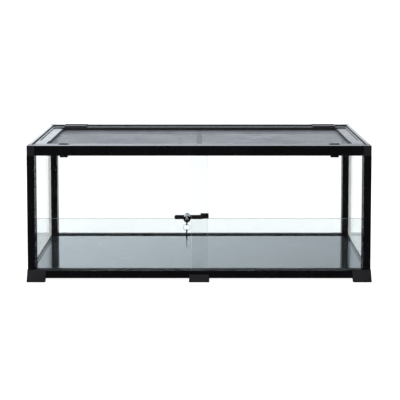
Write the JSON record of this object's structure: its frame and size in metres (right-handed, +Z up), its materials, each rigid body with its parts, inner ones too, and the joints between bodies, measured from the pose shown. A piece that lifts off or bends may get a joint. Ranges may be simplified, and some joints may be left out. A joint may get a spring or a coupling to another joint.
{
  "type": "sliding-door glass display case",
  "caption": "Low, wide glass case in a black profile frame, with sliding glass doors, a ratchet showcase lock with keys, and a hinged wire-screen lid.",
  "frame": {"origin": "on the table, at the middle of the overall footprint from the hanging keys to the rear feet", "axes": "+X to the viewer's right along the case, +Y from the doors to the rear pane, +Z up"},
  "size_m": [1.229, 0.5288, 0.4932],
  "materials": {
    "frame_black": "satin black powder coat",
    "connector_plastic": "fine grain, dark grey",
    "foot_plastic": "fine grain, near black",
    "lid_plastic": "satin black",
    "track_plastic": "black",
    "clear_glass": "clear float glass, ground edges",
    "floor_glass": "dark tinted float glass",
    "gasket_rubber": "black",
    "screen_wire": "fine woven wire",
    "zinc_steel": "zinc plated",
    "lock_chrome": "polished",
    "bar_black": "black coated steel",
    "key_plastic": "black",
    "key_steel": "nickel plated"
  },
  "bodies": {
    "case": {"bottom_rail_front": "frame_black", "bottom_rail_rear": "frame_black", "top_rail_front": "frame_black", "top_rail_rear": "frame_black", "bottom_rail_left": "frame_black", "bottom_rail_right": "frame_black", "top_rail_left": "frame_black", "top_rail_right": "frame_black", "front_post_left": "frame_black", "front_post_right": "frame_black", "rear_post_left": "frame_black", "rear_post_right": "frame_black", "top_corner_front_left": "connector_plastic", "top_corner_front_right": "connector_plastic", "top_corner_rear_left": "connector_plastic", "top_corner_rear_right": "connector_plastic", "foot_centre_front": "foot_plastic", "foot_centre_rear": "foot_plastic", "foot_front_left": "foot_plastic", "foot_front_right": "foot_plastic", "foot_rear_left": "foot_plastic", "foot_rear_right": "foot_plastic", "hinge_leaf_frame_left": "lid_plastic", "hinge_leaf_frame_right": "lid_plastic", "lower_track": "track_plastic", "upper_track": "track_plastic", "rear_glass": "clear_glass", "side_glass_left": "clear_glass", "side_glass_right": "clear_glass", "barrier_glass": "clear_glass", "base_glass": "floor_glass", "rear_gasket": "gasket_rubber", "side_gaskets": "gasket_rubber", "frame_screws": "zinc_steel", "hinge_screws_frame": "zinc_steel", "hinge_pins": "zinc_steel"},
    "lid": {"lid_front": "lid_plastic", "lid_rear": "lid_plastic", "lid_side_left": "lid_plastic", "lid_side_right": "lid_plastic", "lid_cross_bar": "lid_plastic", "lid_screen": "screen_wire", "screen_spline": "gasket_rubber", "hinge_leaf_lid_left": "lid_plastic", "hinge_leaf_lid_right": "lid_plastic", "hinge_screws_lid": "zinc_steel"},
    "latch_left": {"latch_knob_left": "lid_plastic", "latch_tongue_left": "lid_plastic"},
    "latch_right": {"latch_knob_right": "lid_plastic", "latch_tongue_right": "lid_plastic"},
    "left_door": {"left_door_glass": "clear_glass", "lock_bar": "bar_black"},
    "right_door": {"right_door_glass": "clear_glass"},
    "lock": {"lock_body": "lock_chrome"},
    "key": {"lock_plug": "lock_chrome", "key_head": "key_plastic", "key_blade": "key_steel"},
    "ring": {"key_ring": "key_steel"},
    "spare_key": {"spare_key_head": "key_plastic", "spare_key_blade": "key_steel"}
  },
  "joints": [
    {"name": "left_door_slide", "type": "slide", "parent": "case", "child": "left_door", "axis": [1, 0, 0], "range_m": [0, 0.545]},
    {"name": "right_door_slide", "type": "slide", "parent": "case", "child": "right_door", "axis": [-1, 0, 0], "range_m": [0, 0.52]},
    {"name": "lock_slide", "type": "slide", "parent": "right_door", "child": "lock", "axis": [1, 0, 0], "range_m": [-0.058, 0]},
    {"name": "key_turn", "type": "hinge", "parent": "lock", "child": "key", "pos_m": [-0.0425, -0.2244, 0.233], "axis": [0, 1, 0], "range_deg": [0, 90]},
    {"name": "ring_hang", "type": "hinge", "parent": "key", "child": "ring", "pos_m": [-0.0425, -0.2519, 0.222], "axis": [0, 1, 0], "range_deg": [-90, 0]},
    {"name": "spare_key_swing", "type": "hinge", "parent": "ring", "child": "spare_key", "pos_m": [-0.0425, -0.2519, 0.20155], "axis": [1, 0, 0], "range_deg": [-100, 70]},
    {"name": "lid_hinge", "type": "hinge", "parent": "case", "child": "lid", "pos_m": [0, 0.2378, 0.4902], "axis": [-1, 0, 0], "range_deg": [0, 180]},
    {"name": "latch_left_turn", "type": "hinge", "parent": "lid", "child": "latch_left", "pos_m": [-0.4855, -0.1546, 0.487], "axis": [0, 0, 1], "range_deg": [0, 90]},
    {"name": "latch_right_turn", "type": "hinge", "parent": "lid", "child": "latch_right", "pos_m": [0.4855, -0.1546, 0.487], "axis": [0, 0, -1], "range_deg": [0, 90]}
  ],
  "couplings": [
    {"joint": "ring_hang", "follows": "key_turn", "ratio": -1}
  ]
}
